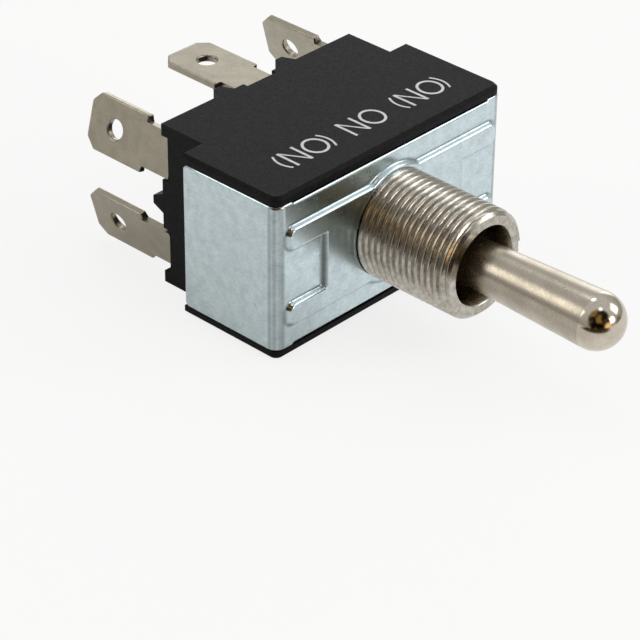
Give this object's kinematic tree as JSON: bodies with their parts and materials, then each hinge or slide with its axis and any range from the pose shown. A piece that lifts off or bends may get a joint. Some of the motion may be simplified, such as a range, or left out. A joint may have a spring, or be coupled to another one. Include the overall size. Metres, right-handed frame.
{
  "type": "panel toggle switch",
  "caption": "Bat-lever panel toggle switch with threaded bushing, steel bracket, moulded case and quick-connect tabs; momentary to either side",
  "frame": {"origin": "on the bushing's axis at the bracket's front plane", "axes": "X along the case's length, -Y along the lever away from the panel, +Y towards the tabs, +Z out of the lettered face"},
  "size_m": [0.034, 0.0608, 0.0188],
  "materials": {
    "black_moulding": "fine matte moulded",
    "zinc_steel": "bright zinc plating",
    "fibre_sheet": "calendered fibre sheet",
    "nickel_brass": "satin nickel plating",
    "nickel_lever": "polished tip, satin shaft",
    "steel_pin": "ground",
    "retainer_moulding": "moulded",
    "carriage_moulding": "moulded",
    "contact_metal": "silver faced",
    "spring_steel": "drawn wire",
    "tinned_brass": "satin plating"
  },
  "bodies": {
    "housing": {"case": "black_moulding", "bracket": "zinc_steel", "insulator": "fibre_sheet", "bushing": "nickel_brass", "pivot_pin": "steel_pin", "retainer": "retainer_moulding", "terminal_upper_left": "tinned_brass", "terminal_upper_middle": "tinned_brass", "terminal_upper_right": "tinned_brass", "terminal_lower_left": "tinned_brass", "terminal_lower_middle": "tinned_brass", "terminal_lower_right": "tinned_brass"},
    "lever": {"lever": "nickel_lever"},
    "carriage": {"carriage": "carriage_moulding", "contact_clip_upper": "contact_metal", "contact_clip_lower": "contact_metal", "contact_spring_upper": "spring_steel", "contact_spring_lower": "spring_steel", "return_spring_left": "spring_steel", "return_spring_right": "spring_steel"}
  },
  "joints": [
    {"name": "lever_pivot", "type": "hinge", "parent": "housing", "child": "lever", "pos_m": [0, -0.0062, 0], "axis": [0, 0, 1], "range_deg": [-13, 13], "stiffness_Nm_per_rad": 0.4},
    {"name": "carriage_slide", "type": "slide", "parent": "housing", "child": "carriage", "axis": [1, 0, 0], "range_m": [-0.00252, 0.00252], "deforming": ["return_spring_left", "return_spring_right"]}
  ],
  "couplings": [
    {"joint": "carriage_slide", "follows": "lever_pivot", "m_per_rad": -0.011104}
  ]
}
